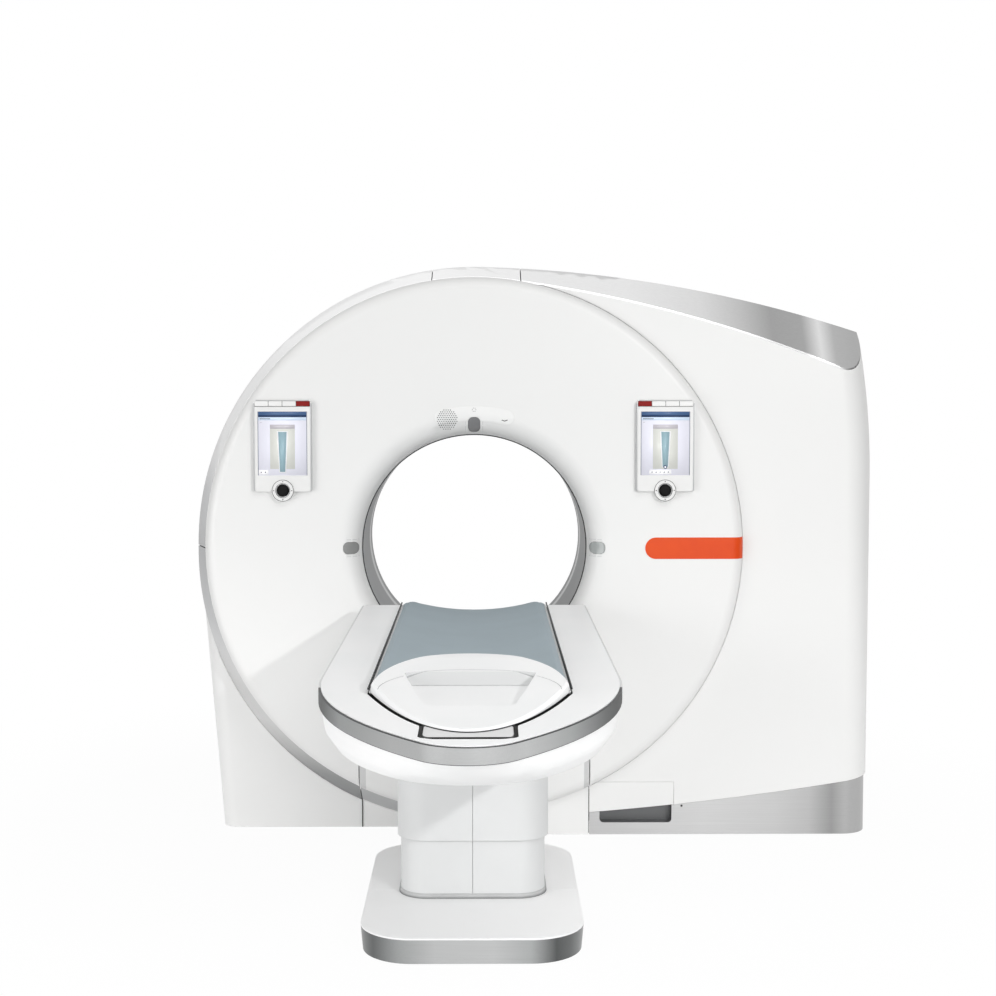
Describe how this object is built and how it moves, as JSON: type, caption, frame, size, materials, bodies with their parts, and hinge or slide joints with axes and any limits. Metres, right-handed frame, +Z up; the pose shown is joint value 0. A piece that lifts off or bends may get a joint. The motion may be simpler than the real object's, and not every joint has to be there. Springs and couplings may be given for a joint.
{
  "type": "ct scanner",
  "caption": "Ring-shaped gantry on a floor plinth with a wide wing on its right, and a patient table with a dished sliding cradle on a lifting column in front of its bore.",
  "frame": {"origin": "on the floor, straight under the point where the bore axis meets the scan plane; centre of the gantry's floor bolt pattern", "axes": "+Z up; +Y along the bore axis from the table into the gantry; +X to the right, seen from the table"},
  "size_m": [2.365, 3.2048, 1.982],
  "materials": {
    "cover_white": "satin white painted moulding",
    "silver_band": "satin silver paint",
    "tunnel_grey": "satin grey",
    "scan_window_film": "clear film",
    "laser_window_grey": "tinted",
    "strip_white": "matte, drilled",
    "accent_orange": "satin orange",
    "panel_white": "satin white",
    "screen_glass": "display glass",
    "button_white": "matte",
    "button_red": "matte red",
    "stick_black": "matte black",
    "gimbal_grey": "matte",
    "frame_steel": "painted steel",
    "bearing_steel": "machined",
    "rotor_aluminium": "cast and machined",
    "tube_housing": "painted housing",
    "detector_dark": "dark anodised",
    "tank_painted": "painted",
    "slip_ring_brass": "polished tracks",
    "lift_steel": "drawn steel",
    "rail_steel": "ground",
    "carbon_white": "laminated board",
    "mattress_blue_grey": "coated cloth over foam"
  },
  "bodies": {
    "gantry_and_base": {"front_disc_cover": "cover_white", "laser_windows": "laser_window_grey", "speaker_strip": "strip_white", "accent_bar": "accent_orange", "upper_left_band": "silver_band", "crown_band": "cover_white", "wing_band": "silver_band", "lower_left_band": "silver_band", "lower_centre_cover": "cover_white", "lower_left_cover": "cover_white", "wing_cover": "cover_white", "service_door": "cover_white", "plinth": "silver_band", "rear_cover": "cover_white", "tunnel_liner": "tunnel_grey", "scan_window": "scan_window_film", "rear_flare": "cover_white", "panel_screens": "screen_glass", "gantry_base_frame": "frame_steel", "stator_frame": "frame_steel", "bearing_outer_ring": "bearing_steel", "base_plate": "frame_steel", "base_skirt": "silver_band", "base_covers": "cover_white", "lower_column_left": "cover_white", "lower_column_right": "cover_white", "lift_outer_tube": "lift_steel", "lift_spindle": "lift_steel", "panel_left": "panel_white", "panel_right": "panel_white"},
    "rotor": {"bearing_inner_ring": "bearing_steel", "rotor_drum": "rotor_aluminium", "slip_ring": "slip_ring_brass", "xray_tubes": "tube_housing", "detectors": "detector_dark", "generator_tanks": "tank_painted"},
    "mid_column": {"lift_middle_tube": "lift_steel", "mid_column_left": "cover_white", "mid_column_right": "cover_white"},
    "table_top": {"lift_inner_tube": "lift_steel", "deck": "cover_white", "edge_band": "silver_band", "table_bowl": "cover_white", "cradle_rails": "rail_steel"},
    "cradle": {"cradle": "carbon_white", "mattress": "mattress_blue_grey", "foot_cap": "cover_white", "cap_tongue": "panel_white"},
    "button_left_1": {"button_left_1": "button_white"},
    "button_left_2": {"button_left_2": "button_white"},
    "button_left_3": {"button_left_3": "button_white"},
    "button_left_4": {"button_left_4": "button_red"},
    "gimbal_left": {"gimbal_left": "gimbal_grey"},
    "joystick_left": {"joystick_left": "stick_black"},
    "button_right_1": {"button_right_1": "button_red"},
    "button_right_2": {"button_right_2": "button_white"},
    "button_right_3": {"button_right_3": "button_white"},
    "button_right_4": {"button_right_4": "button_white"},
    "gimbal_right": {"gimbal_right": "gimbal_grey"},
    "joystick_right": {"joystick_right": "stick_black"}
  },
  "joints": [
    {"name": "rotor_spin", "type": "hinge", "parent": "gantry_and_base", "child": "rotor", "pos_m": [0, 0, 1.011], "axis": [0, 1, 0], "continuous": true},
    {"name": "table_lift", "type": "slide", "parent": "gantry_and_base", "child": "table_top", "axis": [0, 0, 1], "range_m": [-0.27, 0.06]},
    {"name": "mid_column_lift", "type": "slide", "parent": "gantry_and_base", "child": "mid_column", "axis": [0, 0, 1], "range_m": [-0.136, 0.031]},
    {"name": "cradle_slide", "type": "slide", "parent": "table_top", "child": "cradle", "axis": [0, 1, 0], "range_m": [0, 1.5]},
    {"name": "button_left_1_press", "type": "slide", "parent": "gantry_and_base", "child": "button_left_1", "axis": [0, 1, 0], "range_m": [0, 0.002], "stiffness_N_per_m": 800, "springref_m": -0.0005},
    {"name": "button_left_2_press", "type": "slide", "parent": "gantry_and_base", "child": "button_left_2", "axis": [0, 1, 0], "range_m": [0, 0.002], "stiffness_N_per_m": 800, "springref_m": -0.0005},
    {"name": "button_left_3_press", "type": "slide", "parent": "gantry_and_base", "child": "button_left_3", "axis": [0, 1, 0], "range_m": [0, 0.002], "stiffness_N_per_m": 800, "springref_m": -0.0005},
    {"name": "button_left_4_press", "type": "slide", "parent": "gantry_and_base", "child": "button_left_4", "axis": [0, 1, 0], "range_m": [0, 0.002], "stiffness_N_per_m": 800, "springref_m": -0.0005},
    {"name": "joystick_left_tilt_up_down", "type": "hinge", "parent": "gantry_and_base", "child": "gimbal_left", "pos_m": [-0.652, -0.494, 1.211], "axis": [1, 0, 0], "range_deg": [-8, 8], "stiffness_Nm_per_rad": 0.3},
    {"name": "joystick_left_tilt_sideways", "type": "hinge", "parent": "gimbal_left", "child": "joystick_left", "pos_m": [-0.652, -0.494, 1.211], "axis": [0, 0, 1], "range_deg": [-8, 8], "stiffness_Nm_per_rad": 0.3},
    {"name": "button_right_1_press", "type": "slide", "parent": "gantry_and_base", "child": "button_right_1", "axis": [0, 1, 0], "range_m": [0, 0.002], "stiffness_N_per_m": 800, "springref_m": -0.0005},
    {"name": "button_right_2_press", "type": "slide", "parent": "gantry_and_base", "child": "button_right_2", "axis": [0, 1, 0], "range_m": [0, 0.002], "stiffness_N_per_m": 800, "springref_m": -0.0005},
    {"name": "button_right_3_press", "type": "slide", "parent": "gantry_and_base", "child": "button_right_3", "axis": [0, 1, 0], "range_m": [0, 0.002], "stiffness_N_per_m": 800, "springref_m": -0.0005},
    {"name": "button_right_4_press", "type": "slide", "parent": "gantry_and_base", "child": "button_right_4", "axis": [0, 1, 0], "range_m": [0, 0.002], "stiffness_N_per_m": 800, "springref_m": -0.0005},
    {"name": "joystick_right_tilt_up_down", "type": "hinge", "parent": "gantry_and_base", "child": "gimbal_right", "pos_m": [0.652, -0.494, 1.211], "axis": [1, 0, 0], "range_deg": [-8, 8], "stiffness_Nm_per_rad": 0.3},
    {"name": "joystick_right_tilt_sideways", "type": "hinge", "parent": "gimbal_right", "child": "joystick_right", "pos_m": [0.652, -0.494, 1.211], "axis": [0, 0, 1], "range_deg": [-8, 8], "stiffness_Nm_per_rad": 0.3}
  ],
  "couplings": [
    {"joint": "mid_column_lift", "follows": "table_lift", "ratio": 0.5}
  ]
}
